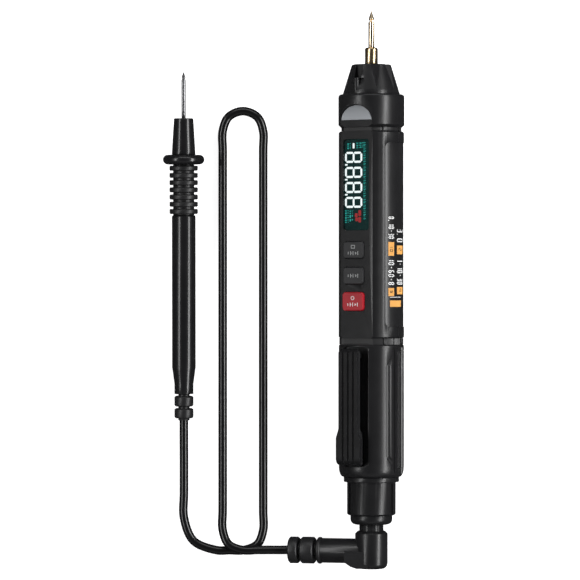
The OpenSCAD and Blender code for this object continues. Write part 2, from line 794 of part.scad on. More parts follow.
module buzzer() lay_pen() color("#202022")
    translate([board_low - buzzer_h, 0, key_zs[2]]) rotate([0, 90, 0]) difference() {
        cylinder(d = buzzer_d, h = buzzer_h - fit);
        translate([0, 0, -over]) cylinder(r = plunger_r, h = over + buzzer_h / 2);
    }

// A key's stem stands clear of its switch by the travel and a small gap
stem_low = flange_top - flange_t - stem_len;
plunger_top = stem_low - key_travel - press_gap;
module tact_switches() lay_pen() color("#8d9094") for (z = key_zs) {
    plate(board_face + fit, board_face + switch_foot, switch_w, switch_w, bevel, key_side, z);
    translate([board_face + switch_foot - fit, key_side, z]) rotate([0, 90, 0])
        cylinder(r = plunger_r, h = plunger_top - board_face - switch_foot + fit);
}

module key(w, len, raise, z) {
    top = face_far + raise;
    hull() {
        plate(flange_top - fit, top - key_chamfer, w, len, key_corner, key_side, z);
        plate(top - 2 * key_chamfer, top, w - 2 * key_chamfer, len - 2 * key_chamfer,
            key_corner - key_chamfer, key_side, z);
    }
    plate(flange_top - flange_t, flange_top, w + 2 * flange_side, len + 2 * flange_side, key_corner,
        key_side, z);
    translate([stem_low, key_side, z]) rotate([0, 90, 0]) cylinder(r = stem_r, h = stem_len + fit);
}
module mode_button() lay_pen() color("#1e1e20") key(key_w, key_len, key_raise, key_zs[0]);
module hold_button() lay_pen() color("#1e1e20") key(key_w, key_len, key_raise, key_zs[1]);
module power_button() lay_pen() color("#b81e30") key(power_w, power_len, power_raise, key_zs[2]);

module label_overlay() lay_pen() color("#1a1a1c")
    label_band(body_r - label_depth + fit, body_r - label_depth + label_t, label_gap);

// Flat-bottomed groove in the barrel's surface
module groove_bar(len) translate([barrel_r - groove_depth, 0, 0]) linear_extrude(len)
    polygon([[0, -groove_floor / 2], [2 * groove_depth, -2 * groove_half_w],
        [2 * groove_depth, 2 * groove_half_w], [0, groove_floor / 2]]);

module barrel_shape() difference() {
    turned(concat(
        [for (i = [0:6]) let (a = 90 * i / 6) [barrel_r - shoulder_in * (1 - sin(a)),
            z_barrel + shoulder_len * (1 - cos(a))]],
        [[barrel_r, z_rear_ring - bevel], [barrel_r - bevel, z_rear_ring], [0, z_rear_ring],
            [0, z_barrel]]));
    step = (360 - 2 * groove_from) / (groove_count - 1);
    for (i = [0:groove_count - 1]) {
        short = i == 0 || i == groove_count - 1 ? groove_short : 0;
        rotate([0, 0, groove_from + step * i]) translate([0, 0, z_barrel + groove_margin + short])
            groove_bar(barrel_len - 2 * (groove_margin + short));
    }
    // Slanting ends of the outermost grooves
    sweep = barrel_r * step * PI / 180;
    slant = norm([sweep, slant_len]);
    slant_z = groove_margin + groove_short - slant_len / 2;
    for (side = [-1, 1], end = [-1, 1])
        rotate([0, 0, side * (groove_from + step / 2)])
            translate([0, 0, end < 0 ? z_barrel + slant_z : z_rear_ring - slant_z])
                rotate([-side * end * atan(sweep / slant_len), 0, 0])
                    translate([0, 0, -slant / 2]) groove_bar(slant);
}

module cell_places() for (side = [-1, 1]) translate([cell_shift, side * cell_pitch / 2, 0]) children();

module rear_barrel() lay_pen() color("#1a1a1c") difference() {
    intersection() {
        barrel_shape();
        union() {
            block(0, reach, 2 * reach, z_barrel - over, z_rear_ring + over);
            rod(reach, z_barrel - over, cover_low);
            rod(reach, cover_high, z_rear_ring + over);
        }
    }
    intersection() {
        rod(barrel_r - barrel_wall, bay_low, bay_high);
        union() {
            cell_places() rod(cell_r + bay_gap, bay_low, bay_high);
            block(-reach, cell_shift, cell_pitch + 2 * (cell_r + bay_gap), bay_low, bay_high);
            block(cell_shift, board_face + 2 * strip_t + strip_channel, cell_pitch / 2, bay_low, bay_high);
        }
    }
    rod(tail_spigot_r + fit, z_barrel - over, bay_low + fit);
    rod(rear_spigot_r + fit, bay_high - fit, z_rear_ring + over);
    plate(pocket_floor, reach, pocket_w, pocket_len, pocket_corner, 0, pocket_z);
    block(tenon_foot - slot_deep, reach, tenon_w + 2 * slot_gap, tenon_rear - 2 * slot_gap,
        tenon_front + 2 * slot_gap);
    translate([pivot_far, 0, pivot_z]) rotate([90, 0, 0])
        cylinder(r = trunnion_r + run, h = tenon_w + 2 * (trunnion_out + slot_gap), center = true);
}

module battery_cover() lay_pen() color("#1a1a1c") difference() {
    intersection() {
        barrel_shape();
        block(-reach, -cover_seam, 2 * reach, cover_low + cover_seam, cover_high - cover_seam);
    }
    rod(barrel_r - barrel_wall, z_barrel, z_rear_ring);
}

module cell(z0, z1) {
    rod(cell_r, z0 < z1 ? z0 : z1 + cell_nub_h, z0 < z1 ? z1 - cell_nub_h : z0);
    rod(cell_nub_d / 2, min(z0, z1), max(z0, z1));
}
module battery_1() lay_pen() color("#3f6fb0") translate([cell_shift, -cell_pitch / 2, 0])
    cell(bay_high - plate_t - fit - cell_len, bay_high - plate_t - fit);
module battery_2() lay_pen() color("#3f6fb0") translate([cell_shift, cell_pitch / 2, 0])
    cell(bay_low + plate_t + fit + cell_len, bay_low + plate_t + fit);

// A battery spring narrows from its plate to the cell's flat end
spring_turns = 2;
spring_steps = 14;
spring_foot_r = 3.7;
spring_top_r = 1.9;
function spring_path(z0, z1) = let (n = spring_turns * spring_steps)
    [for (i = [0:n]) let (r = spring_foot_r + (spring_top_r - spring_foot_r) * i / n)
        [r * cos(360 * i / spring_steps), r * sin(360 * i / spring_steps), z0 + (z1 - z0) * i / n]];
spring_rise = (spring_h - spring_wire) / spring_turns;
spring_close = (spring_foot_r - spring_top_r) / spring_turns;
module battery_springs() lay_pen() color("#b9bcc0") {
    echo(least_gap_in_spring = norm([spring_rise, spring_close]) - spring_wire);
    low = bay_low + plate_t + fit + spring_wire / 2;
    high = bay_high - plate_t - fit - spring_wire / 2;
    travel = spring_h - spring_wire;
    translate([cell_shift, -cell_pitch / 2, 0]) swept(spring_path(low, low + travel), spring_wire / 2, 6);
    translate([cell_shift, cell_pitch / 2, 0]) swept(spring_path(high, high - travel), spring_wire / 2, 6);
}

module contact_plates() lay_pen() color("#c4c6c8") {
    block(cell_shift - plate_half, cell_shift + plate_half, cell_pitch + 2 * plate_half, bay_low,
        bay_low + plate_t);
    for (side = [-1, 1]) block(cell_shift - plate_half, cell_shift + plate_half, 2 * plate_half,
        bay_high - plate_t, bay_high, side * cell_pitch / 2);
}

module return_strip() lay_pen() color("#b88a4c")
    block(board_face + fit, board_face + fit + strip_t, strip_w, z_barrel - post_r,
        board_rear + ring_spigot_len);

module pocket_clip() lay_pen() color("#161618") {
    outer_round = clip_t / 2;
    side = concat(
        arc([clip_far - 2 * outer_round, clip_front - 2 * outer_round], 2 * outer_round, 0, 80),
        [[blade_inside, clip_front - bevel], [blade_inside, clip_front - nub_from],
            [pocket_floor + fit, clip_front - nub_from - bevel],
            [pocket_floor + fit, clip_front - nub_from - nub_len / 2],
            [blade_inside, clip_front - nub_from - nub_len], [blade_inside, root_front + round_r]],
        arc([blade_inside - round_r, root_front + round_r], round_r, 0, -90),
        [[pocket_floor + fit, root_front], [pocket_floor + fit, tenon_front], [tenon_foot, tenon_front],
            [tenon_foot, tenon_rear],
            [pocket_floor + (pivot_z - tenon_rear) * tan(clip_angle + 1), tenon_rear],
            [pocket_floor + (pivot_z - root_rear) * tan(clip_angle + 1), root_rear]],
        arc([clip_far - 3 * round_r, root_rear + 3 * round_r], 3 * round_r, -60, 0));
    half = clip_w / 2;
    root_half = clip_root_w / 2;
    flare = root_half - half;
    plan_right = concat(
        arc([root_half - clip_corner, root_rear + clip_corner], clip_corner, -90, 0),
        [[root_half, root_front - 2 * flare], [half, root_front + flare]],
        arc([half - clip_corner, clip_front - clip_corner], clip_corner, 0, 90));
    plan = concat(plan_right, [for (i = [len(plan_right) - 1:-1:0]) [-plan_right[i][0], plan_right[i][1]]]);
    difference() {
        intersection() {
            side_form(side, 2 * root_half);
            rotate([90, 0, 90]) linear_extrude(reach) polygon(plan);
        }
        for (i = [-1:1])
            translate([clip_far - rib_depth, i * rib_pitch, root_rear - over])
                linear_extrude(clip_front - root_rear + 2 * over)
                    polygon([[0, 0], [2 * rib_depth, -2 * rib_depth], [2 * rib_depth, 2 * rib_depth]]);
        // The root and the blade's nub stand on narrower necks
        for (s = [-1, 1]) {
            block(0, blade_inside, root_half, root_rear - over, root_front + 2 * round_r,
                s * (tenon_w / 2 + root_half / 2));
            block(0, blade_inside, root_half, clip_front - nub_from - nub_len - over, clip_front + over,
                s * (nub_w / 2 + root_half / 2));
        }
    }
    translate([pivot_far, 0, pivot_z]) rotate([90, 0, 0])
        cylinder(r = trunnion_r, h = tenon_w + 2 * trunnion_out, center = true);
}

module tail_cap() lay_pen() color("#1a1a1c") {
    ring_z = z_barrel - tail_ring_len;
    difference() {
        turned([[jack_bore_r, z_tail], [tail_d / 2 - bevel, z_tail], [tail_d / 2, z_tail + bevel],
            [tail_d / 2, ring_z], [tail_ring_d / 2 - bevel / 2, ring_z],
            [tail_ring_d / 2, ring_z + bevel / 2], [tail_ring_d / 2, z_barrel - bevel / 2],
            [tail_ring_d / 2 - bevel / 2, z_barrel], [tail_spigot_r, z_barrel],
            [tail_spigot_r, z_barrel + tail_spigot_len], [tail_bore_r, z_barrel + tail_spigot_len],
            [tail_bore_r, jack_depth + jack_flange_t + fit],
            [jack_flange_r + fit, jack_depth + jack_flange_t + fit], [jack_flange_r + fit, jack_depth],
            [jack_bore_r, jack_depth]]);
        for (i = [0:2]) rotate([0, 0, -30 + 120 * i])
            block(tail_d / 2 - tail_groove_depth, reach, tail_groove_w, z_tail - over, ring_z - bevel);
    }
}

module jack_nut() lay_pen() color("#141416")
    turned(concat([[jack_bore_r, 0]], arc([nut_d / 2 - nut_round, nut_round], nut_round, -90, 0),
        [[nut_d / 2, z_tail], [jack_bore_r, z_tail]]));

module jack_socket() lay_pen() color("#c6a05a") {
    turned([[jack_in_r, pin_len - shroud_len + round_r], [jack_out_r, pin_len - shroud_len + round_r],
        [jack_out_r, jack_depth], [jack_flange_r, jack_depth], [jack_flange_r, jack_depth + jack_flange_t],
        [jack_back_r, jack_depth + jack_flange_t], [jack_back_r, z_barrel - post_r - fit],
        [0, z_barrel - post_r - fit], [0, pin_len + run], [jack_in_r, pin_len + run]]);
    block(0, board_face + strip_t, strip_w, z_barrel - post_r - terminal_t, z_barrel - post_r - fit);
}

module plug_body() lay_pen() color("#151517") difference() {
    union() {
        turned(concat([[0, -elbow_len]],
            arc([elbow_d / 2 - elbow_round, elbow_round - elbow_len], elbow_round, -90, 0),
            [[elbow_d / 2, -elbow_top - round_r], [elbow_d / 2 - round_r, -elbow_top],
                [neck_out_d / 2, -elbow_top], [neck_out_d / 2, shroud_len], [neck_out_d / 2 - shroud_wall, shroud_len],
                [neck_out_d / 2 - shroud_wall, 0], [0, 0]]));
        rotate([0, 0, arm_azimuth]) side_form([[0, foot_z], [heel_out - 2 * heel_slope, foot_z],
            [heel_out - heel_slope, foot_z + heel_slope / 3], [heel_out, foot_z + heel_slope],
            [heel_out, arm_z], [0, arm_z]], elbow_d - heel_inset);
        along_arm() cylinder(d = arm_d, h = arm_len);
    }
    rod(pin_d / 2 + fit, -pin_in - fit, over);
}

module plug_pin() lay_pen() color("#d6d2c6")
    turned(concat([[0, -pin_in], [pin_d / 2, -pin_in]],
        arc([pin_d / 2 - round_r, pin_len - round_r], round_r, 0, 90), [[0, pin_len]]));

// Boot of ringed rubber: each pair of shares is one ring's span
module ringed(z0, len, shares, r_ring, r_core) {
    rod(r_core, z0, z0 + len);
    for (s = shares) translate([0, 0, z0 + s[0] * len]) {
        h = (s[1] - s[0]) * len;
        edge = bevel * h / (h + bevel);
        turned([[0, 0], [r_ring - edge, 0], [r_ring, edge], [r_ring, h - edge], [r_ring - edge, h], [0, h]]);
    }
}
module plug_boot() lay_pen() color("#121214") along_arm()
    ringed(arm_len, boot_len, boot_shares, boot_r, boot_notch_r);

module lead_cord() color("#0e0e10") {
    first = cord_route[0];
    last = cord_route[len(cord_route) - 1];
    start = first + cord_seat * unit(first - cord_route[1]);
    end = last + cord_seat * unit(last - cord_route[len(cord_route) - 2]);
    swept(concat([start], smooth_path(cord_route), [end]), cord_d / 2, cord_sides);
}

module lead_needle() lay_probe() color("#8b8d90") {
    r = lead_needle_d / 2;
    mouth_z = nose_z + nose_len;
    neck_fall = lead_neck_len / 4;
    tip_z = mouth_z + lead_needle_out;
    turned([[0, mouth_z - lead_needle_in], [lead_stem_r, mouth_z - lead_needle_in],
        [lead_stem_r, mouth_z], [r, mouth_z], [r, tip_z - lead_head - lead_neck_len],
        [lead_neck_r, tip_z - lead_head - lead_neck_len + neck_fall],
        [lead_neck_r, tip_z - lead_head - neck_fall], [r, tip_z - lead_head], [0, tip_z]]);
}

module probe_nose() lay_probe() color("#1a1a1c")
    turned(concat([[lead_stem_r + fit, nose_z + fit], [nose_foot_r, nose_z + fit]],
        arc([nose_top_r - bevel, nose_z + nose_len - bevel], bevel, 0, 90),
        [[lead_stem_r + fit, nose_z + nose_len]]));

module finger_guard() lay_probe() color("#151517") {
    half = guard_t / 2;
    turned(concat([[core_r + fit, guard_z + fit]],
        arc([guard_r - half + fit / 2, guard_z + half + fit / 2], half - fit / 2, -90, 90, 8),
        [[core_r + fit, guard_z + guard_t]]));
}

module grip_sleeve() lay_probe() color("#131315") {
    groove_w = grip_pitch - grip_ring_w;
    rings = [for (i = [0:grip_rings - 1]) let (z = grip_z + i * grip_pitch) each [
        [grip_core_r, z], [grip_core_r, z + groove_w / 2], [grip_d / 2 - bevel / 2, z + groove_w / 2],
        [grip_d / 2, z + groove_w / 2 + bevel / 2], [grip_d / 2, z + grip_pitch - groove_w / 2 - bevel / 2],
        [grip_d / 2 - bevel / 2, z + grip_pitch - groove_w / 2], [grip_core_r, z + grip_pitch - groove_w / 2]]];
    turned(concat([[core_r + fit, grip_z + fit], [grip_core_r, grip_z + fit]],
        [for (i = [1:len(rings) - 1]) rings[i]],
        [[grip_core_r, guard_z], [core_r + fit, guard_z]]));
}

module probe_handle() lay_probe() color("#1a1a1c")
    turned([[wire_r, boot_tail_len], [tail_r, boot_tail_len], [tail_r, boot_tail_len + tail_straight],
        [handle_d / 2, probe_handle_z], [handle_d / 2, grip_z - bevel], [handle_d / 2 - bevel, grip_z],
        [core_r, grip_z], [core_r, nose_z], [lead_stem_r + fit, nose_z],
        [lead_stem_r + fit, nose_z + nose_len - lead_needle_in - fit],
        [wire_r, nose_z + nose_len - lead_needle_in - fit]]);

module probe_boot() lay_probe() color("#121214")
    ringed(0, boot_tail_len - fit, boot_ring_shares, tail_r, cord_d / 2 + bevel);

probe_needle();
needle_ferrule();
needle_terminal();
nose_cone();
torch_led();
front_collar();
indicator_window();
indicator_led();
ncv_antenna();
front_ring();
front_shell();
back_shell();
display_window();
lcd_glass();
backlight();
circuit_board();
board_chips();
buzzer();
tact_switches();
mode_button();
hold_button();
power_button();
label_overlay();
rear_ring();
rear_barrel();
battery_cover();
battery_1();
battery_2();
battery_springs();
contact_plates();
return_strip();
pocket_clip();
tail_cap();
jack_nut();
jack_socket();
plug_body();
plug_pin();
plug_boot();
lead_cord();
lead_needle();
probe_nose();
finger_guard();
grip_sleeve();
probe_handle();
probe_boot();
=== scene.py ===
import math

import bpy
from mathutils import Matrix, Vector


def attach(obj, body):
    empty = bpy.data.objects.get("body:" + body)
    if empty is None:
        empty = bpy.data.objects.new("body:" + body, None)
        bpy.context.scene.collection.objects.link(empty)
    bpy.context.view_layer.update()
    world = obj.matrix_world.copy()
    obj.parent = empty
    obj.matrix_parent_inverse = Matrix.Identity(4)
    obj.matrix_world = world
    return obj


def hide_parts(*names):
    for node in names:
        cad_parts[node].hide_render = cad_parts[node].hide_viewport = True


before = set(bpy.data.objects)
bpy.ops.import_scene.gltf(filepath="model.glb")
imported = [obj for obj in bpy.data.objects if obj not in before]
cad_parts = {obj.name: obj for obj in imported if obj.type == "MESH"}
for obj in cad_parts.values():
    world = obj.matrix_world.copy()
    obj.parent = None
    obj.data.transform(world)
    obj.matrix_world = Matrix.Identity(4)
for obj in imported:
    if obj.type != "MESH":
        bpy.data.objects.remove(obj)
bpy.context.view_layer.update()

# Sizes of the pen in millimetres, and its roll about its own axis
MM = 0.001
ROLL = math.radians(34.5)
PEN_LEN = 198.98
PEN_X = 34.05
AXIS_H = 12.75
BODY_Z = 72.08
BODY_LEN = 79.8
FACE_N = 10.35
LABEL_R = 12.4

# Millimetres in a pixel of the photograph, and the pixel where the middle of the pen's axis lies
PX = 0.387
PX_X = 371.4
PX_Y = 267.25


def pen_point(n, u, z):
    """Row point of a place on the pen: distance in the face direction, across it, and along the pen."""
    return Vector((PEN_X - n * math.sin(ROLL) + u * math.cos(ROLL), z - PEN_LEN / 2,
                   AXIS_H + n * math.cos(ROLL) + u * math.sin(ROLL))) * MM


def along(py):
    """Place along the pen of a height in the photograph."""
    return (PX_Y - py) * PX + PEN_LEN / 2


def across(px, n):
    """Place across the flat face of a column of the photograph, on the level n."""
    return ((px - PX_X) * PX + n * math.sin(ROLL)) / math.cos(ROLL)


def around(px, r):
    """Angle from the face direction of a column of the photograph, on radius r."""
    return math.degrees(ROLL + math.asin((px - PX_X) * PX / r))


# Camera, straight above
CAM_FIELD = 224.5
CAM_HIGH = 1400
CAM_X = 2.55
CAM_Y = -8.8
CAM_SENSOR = 36
cam_data = bpy.data.cameras.new("camera")
cam = bpy.data.objects.new("camera", cam_data)
bpy.context.collection.objects.link(cam)
cam.location = Vector((CAM_X, CAM_Y, AXIS_H + CAM_HIGH)) * MM
cam_data.sensor_width = CAM_SENSOR
cam_data.lens = CAM_SENSOR * CAM_HIGH / CAM_FIELD
bpy.context.scene.camera = cam

# Cord: its seat is how far it goes into both boots
CORD_D = 3.4
CORD_SEAT = 2
CORD_STEPS = 7
CORD_SIDES = 20
# Places of the cord's middle line, in millimetres
CORD_ROUTE = [
    (2.4, -109.9, 5.1), (-1, -110, 4.55), (-5, -110, 4.5), (-10, -110, 4.95), (-15.8, -110, 5.3),
    (-21.4, -107.7, 4.95), (-23.7, -102.1, 3.9), (-23.7, -95, 2.5), (-23.7, -86, 1.8),
    (-23.7, -76, 1.75), (-23.7, -40, 1.75), (-23.7, 0, 1.75), (-23.7, 35, 1.75), (-23.7, 46, 1.75),
    (-23.7, 53.1, 1.75), (-21.4, 58.7, 1.75), (-15.8, 61, 1.75), (-10.2, 58.7, 1.75),
    (-7.9, 53.1, 1.75), (-7.9, 46, 1.75), (-7.9, 35, 1.75), (-7.9, 0, 1.75), (-7.9, -40, 1.75),
    (-7.9, -80, 1.75), (-7.9, -95, 1.75), (-7.9, -102.4, 1.75), (-10.2, -108, 1.75),
    (-15.8, -110.3, 1.75), (-21, -110.3, 1.75), (-26.1, -110.3, 1.75), (-35.1, -106.6, 1.75),
    (-38.8, -97.6, 1.75), (-38.8, -88, 1.75), (-38.8, -76, 1.85), (-38.8, -67, 2.8),
    (-38.8, -59.4, 3.6)]


def smooth_line(points, steps):
    """Points on a smooth curve through the given ones."""
    p = [Vector(q) for q in points]
    p = [2 * p[0] - p[1]] + p + [2 * p[-1] - p[-2]]
    line = []
    for i in range(1, len(p) - 2):
        a, b, c, d = p[i - 1:i + 3]
        t1 = math.sqrt((b - a).length)
        t2 = t1 + math.sqrt((c - b).length)
        t3 = t2 + math.sqrt((d - c).length)
        for k in range(steps):
            t = t1 + (t2 - t1) * k / steps
            ab = (a * (t1 - t) + b * t) / t1
            bc = (b * (t2 - t) + c * (t - t1)) / (t2 - t1)
            cd = (c * (t3 - t) + d * (t - t2)) / (t3 - t2)
            abc = (ab * (t2 - t) + bc * t) / t2
            bcd = (bc * (t3 - t) + cd * (t - t1)) / (t3 - t1)
            line.append((abc * (t2 - t) + bcd * (t - t1)) / (t2 - t1))
    return line + [p[-2]]


def tube_mesh(name, line, radius, sides):
    """Closed tube round a line that stays near one level."""
    verts, faces = [], []
    last = len(line) - 1
    for i, place in enumerate(line):
        ahead = (line[min(i + 1, last)] - line[max(i - 1, 0)]).normalized()
        side = ahead.cross(Vector((0, 0, 1))).normalized()
        up = side.cross(ahead)
        for k in range(sides):
            turn = math.tau * k / sides
            verts.append(place + radius * (math.cos(turn) * side + math.sin(turn) * up))
    for i in range(last):
        for k in range(sides):
            a, b = i * sides + k, i * sides + (k + 1) % sides
            faces.append([a, b, b + sides, a + sides])
    faces.append(list(range(sides))[::-1])
    faces.append([last * sides + k for k in range(sides)])
    mesh = bpy.data.meshes.new(name)
    mesh.from_pydata([tuple(v) for v in verts], [], faces)
    for poly in mesh.polygons:
        poly.use_smooth = len(poly.vertices) == 4
    tube = bpy.data.objects.new(name, mesh)
    bpy.context.collection.objects.link(tube)
    return tube


def make_cord():
    """Cord from the plug's boot to the lead probe's boot."""
    route = [Vector(q) for q in CORD_ROUTE]
    start = route[0] + CORD_SEAT * (route[0] - route[1]).normalized()
    end = route[-1] + CORD_SEAT * (route[-1] - route[-2]).normalized()
    line = [q * MM for q in [start] + smooth_line(CORD_ROUTE, CORD_STEPS) + [end]]
    cord = tube_mesh("cord", line, CORD_D / 2 * MM, CORD_SIDES)
    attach(cord, "lead")
    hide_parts("lead_cord")
    return cord


cord = make_cord()


# Materials
CLOUD_STOPS = (0.3, 0.7)
GLOSS_CLOUD_SHARE = 2.5
LEAST_ROUGH = 0.02
BRUSHED = (1, 0.05, 1)


def nodes_of(name):
    """New material with its node tree and its surface shader."""
    mat = bpy.data.materials.new(name)
    mat.use_nodes = True
    tree = mat.node_tree
    bsdf = tree.nodes["Principled BSDF"]
    return mat, tree, bsdf


def noise(tree, scale, detail=3, stretch=(1, 1, 1)):
    """Noise fixed to the object."""
    coord = tree.nodes.new("ShaderNodeTexCoord")
    mapping = tree.nodes.new("ShaderNodeMapping")
    mapping.inputs["Scale"].default_value = stretch
    tex = tree.nodes.new("ShaderNodeTexNoise")
    tex.inputs["Scale"].default_value = scale
    tex.inputs["Detail"].default_value = detail
    tree.links.new(coord.outputs["Object"], mapping.inputs["Vector"])
    tree.links.new(mapping.outputs["Vector"], tex.inputs["Vector"])
    return tex.outputs["Fac"]


def finish(name, color, rough, metal=0.0, vary=0.12, rough_vary=0.06, grain=3000, depth=0.02,
           stretch=(1, 1, 1), spec=0.5, cloud=90):
    """Material with soft clouding of its colour and gloss and a fine moulded or brushed grain."""
    mat, tree, bsdf = nodes_of(name)
    fac = noise(tree, cloud, 4)
    ramp = tree.nodes.new("ShaderNodeValToRGB")
    dark, light = ramp.color_ramp.elements
    dark.position, light.position = CLOUD_STOPS
    dark.color = (*[c * (1 - vary) for c in color], 1)
    light.color = (*[min(1, c * (1 + vary)) for c in color], 1)
    tree.links.new(fac, ramp.inputs["Fac"])
    tree.links.new(ramp.outputs["Color"], bsdf.inputs["Base Color"])
    fine = noise(tree, grain, 2, stretch)
    span = tree.nodes.new("ShaderNodeMapRange")
    span.inputs["To Min"].default_value = max(LEAST_ROUGH, rough - rough_vary)
    span.inputs["To Max"].default_value = rough + rough_vary
    tree.links.new(noise(tree, cloud * GLOSS_CLOUD_SHARE, 3, stretch), span.inputs["Value"])
    tree.links.new(span.outputs["Result"], bsdf.inputs["Roughness"])
    bump = tree.nodes.new("ShaderNodeBump")
    bump.inputs["Strength"].default_value = 1.0
    bump.inputs["Distance"].default_value = depth * MM
    tree.links.new(fine, bump.inputs["Height"])
    tree.links.new(bump.outputs["Normal"], bsdf.inputs["Normal"])
    bsdf.inputs["Metallic"].default_value = metal
    bsdf.inputs["Specular IOR Level"].default_value = spec
    return mat


BLACK = (0.012, 0.012, 0.013)
housing = finish("housing", BLACK, 0.3, grain=2600, depth=0.003, spec=0.42)
ring = finish("ring", (0.02, 0.02, 0.021), 0.4, grain=2600, depth=0.004)
gloss = finish("gloss_plastic", (0.01, 0.01, 0.011), 0.22, grain=2000, depth=0.002)
soft = finish("soft_rubber", (0.011, 0.011, 0.012), 0.42, grain=3500, depth=0.006)
cord_skin = finish("cord_skin", (0.006, 0.006, 0.0065), 0.2, grain=900, depth=0.004)
gilt = finish("gilt", (0.86, 0.7, 0.5), 0.16, metal=1, vary=0.06, grain=1800, depth=0.001, stretch=BRUSHED)
brass = finish("brass_ferrule", (0.8, 0.62, 0.38), 0.22, metal=1, vary=0.08, grain=1600, depth=0.0015)
sheet = finish("sheet_metal", (0.7, 0.68, 0.62), 0.3, metal=1, vary=0.06, grain=1600, depth=0.001)
steel = finish("needle_steel", (0.26, 0.26, 0.27), 0.24, metal=1, vary=0.12, grain=1800, depth=0.001,
               stretch=BRUSHED)
nickel = finish("nickel", (0.75, 0.73, 0.68), 0.16, metal=1, vary=0.05, grain=1800, depth=0.001)
grey_lens = finish("grey_lens", (0.4, 0.42, 0.445), 0.3, vary=0.05, grain=2500, depth=0.002)
clear_lens = finish("clear_lens", (0.8, 0.82, 0.8), 0.1, vary=0.03, grain=1500, depth=0.001)
red_key = finish("red_key", (0.46, 0.008, 0.02), 0.42, vary=0.1, grain=2600, depth=0.004)
black_key = finish("black_key", (0.018, 0.018, 0.02), 0.45, grain=2600, depth=0.005)
label_film = finish("label_film", (0.013, 0.013, 0.014), 0.3, grain=3000, depth=0.002)
board_green = finish("board_green", (0.02, 0.12, 0.05), 0.4, vary=0.2)
chip = finish("chip", (0.02, 0.02, 0.021), 0.5)
white_plastic = finish("white_plastic", (0.75, 0.77, 0.75), 0.4, vary=0.04)
jacket = finish("cell_jacket", (0.03, 0.12, 0.35), 0.3, vary=0.08)
foil = finish("foil", (0.65, 0.3, 0.15), 0.3, metal=1)
ink_white = finish("ink_white", (0.95, 0.96, 0.96), 0.5, vary=0.05, depth=0.002)
ink_grey = finish("ink_grey", (0.42, 0.43, 0.43), 0.5, vary=0.05, depth=0.002)
ink_orange = finish("ink_orange", (0.85, 0.4, 0.08), 0.5, vary=0.05, depth=0.002)
lcd_back = finish("lcd_back", (0.004, 0.045, 0.042), 0.3, vary=0.15, depth=0.001, spec=0.2)


def glow(name, color, strength):
    """Material that also gives light of its own."""
    mat = finish(name, color, 0.4, vary=0.06, depth=0.001)
    bsdf = mat.node_tree.nodes["Principled BSDF"]
    bsdf.inputs["Emission Color"].default_value = (*color, 1)
    bsdf.inputs["Emission Strength"].default_value = strength
    return mat


lcd_white = glow("lcd_white", (0.9, 1.0, 1.0), 0.85)
lcd_teal = glow("lcd_teal", (0.01, 0.42, 0.36), 0.55)
lcd_red = glow("lcd_red", (0.42, 0.012, 0.015), 0.45)
window_clear = finish("window_clear", (0.01, 0.03, 0.03), 0.08, vary=0.05, depth=0.0005, spec=0.25)
window_clear.node_tree.nodes["Principled BSDF"].inputs["Alpha"].default_value = 0.12

LOOKS = {
    "probe_needle": gilt, "needle_ferrule": brass, "needle_terminal": sheet, "nose_cone": housing,
    "torch_led": clear_lens, "front_collar": housing, "indicator_window": grey_lens,
    "indicator_led": clear_lens, "ncv_antenna": foil, "front_ring": ring, "front_shell": housing,
    "back_shell": housing, "display_window": window_clear, "lcd_glass": lcd_back,
    "backlight": white_plastic, "circuit_board": board_green, "board_chips": chip, "buzzer": chip,
    "tact_switches": sheet, "mode_button": black_key, "hold_button": black_key,
    "power_button": red_key, "label_overlay": label_film, "rear_ring": ring,
    "rear_barrel": housing, "battery_cover": housing, "battery_1": jacket, "battery_2": jacket,
    "battery_springs": nickel, "contact_plates": nickel, "return_strip": sheet,
    "pocket_clip": gloss, "tail_cap": housing, "jack_nut": housing, "jack_socket": brass,
    "plug_body": housing, "plug_pin": nickel, "plug_boot": soft, "lead_cord": cord_skin,
    "lead_needle": steel, "probe_nose": gloss, "finger_guard": gloss, "grip_sleeve": soft,
    "probe_handle": gloss, "probe_boot": soft}
# Pieces whose edges stay as they are
PLAIN_EDGES = ("lead_cord", "display_window", "lcd_glass", "label_overlay", "battery_springs")


WELD_DISTANCE = 0.002
BEVEL_WIDTH = 0.12
BEVEL_ANGLE = 32


def soften_edges(obj):
    """Small rounded edges that catch the light, as on moulded and turned pieces."""
    weld = obj.modifiers.new("weld", "WELD")
    weld.merge_threshold = WELD_DISTANCE * MM
    bevel = obj.modifiers.new("bevel", "BEVEL")
    bevel.limit_method = "ANGLE"
    bevel.angle_limit = math.radians(BEVEL_ANGLE)
    bevel.width = BEVEL_WIDTH * MM
    bevel.segments = 2
    bevel.harden_normals = True


for node_name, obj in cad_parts.items():
    obj.data.materials.clear()
    obj.data.materials.append(LOOKS[node_name])
    if node_name not in PLAIN_EDGES:
        soften_edges(obj)
cord.data.materials.append(cord_skin)


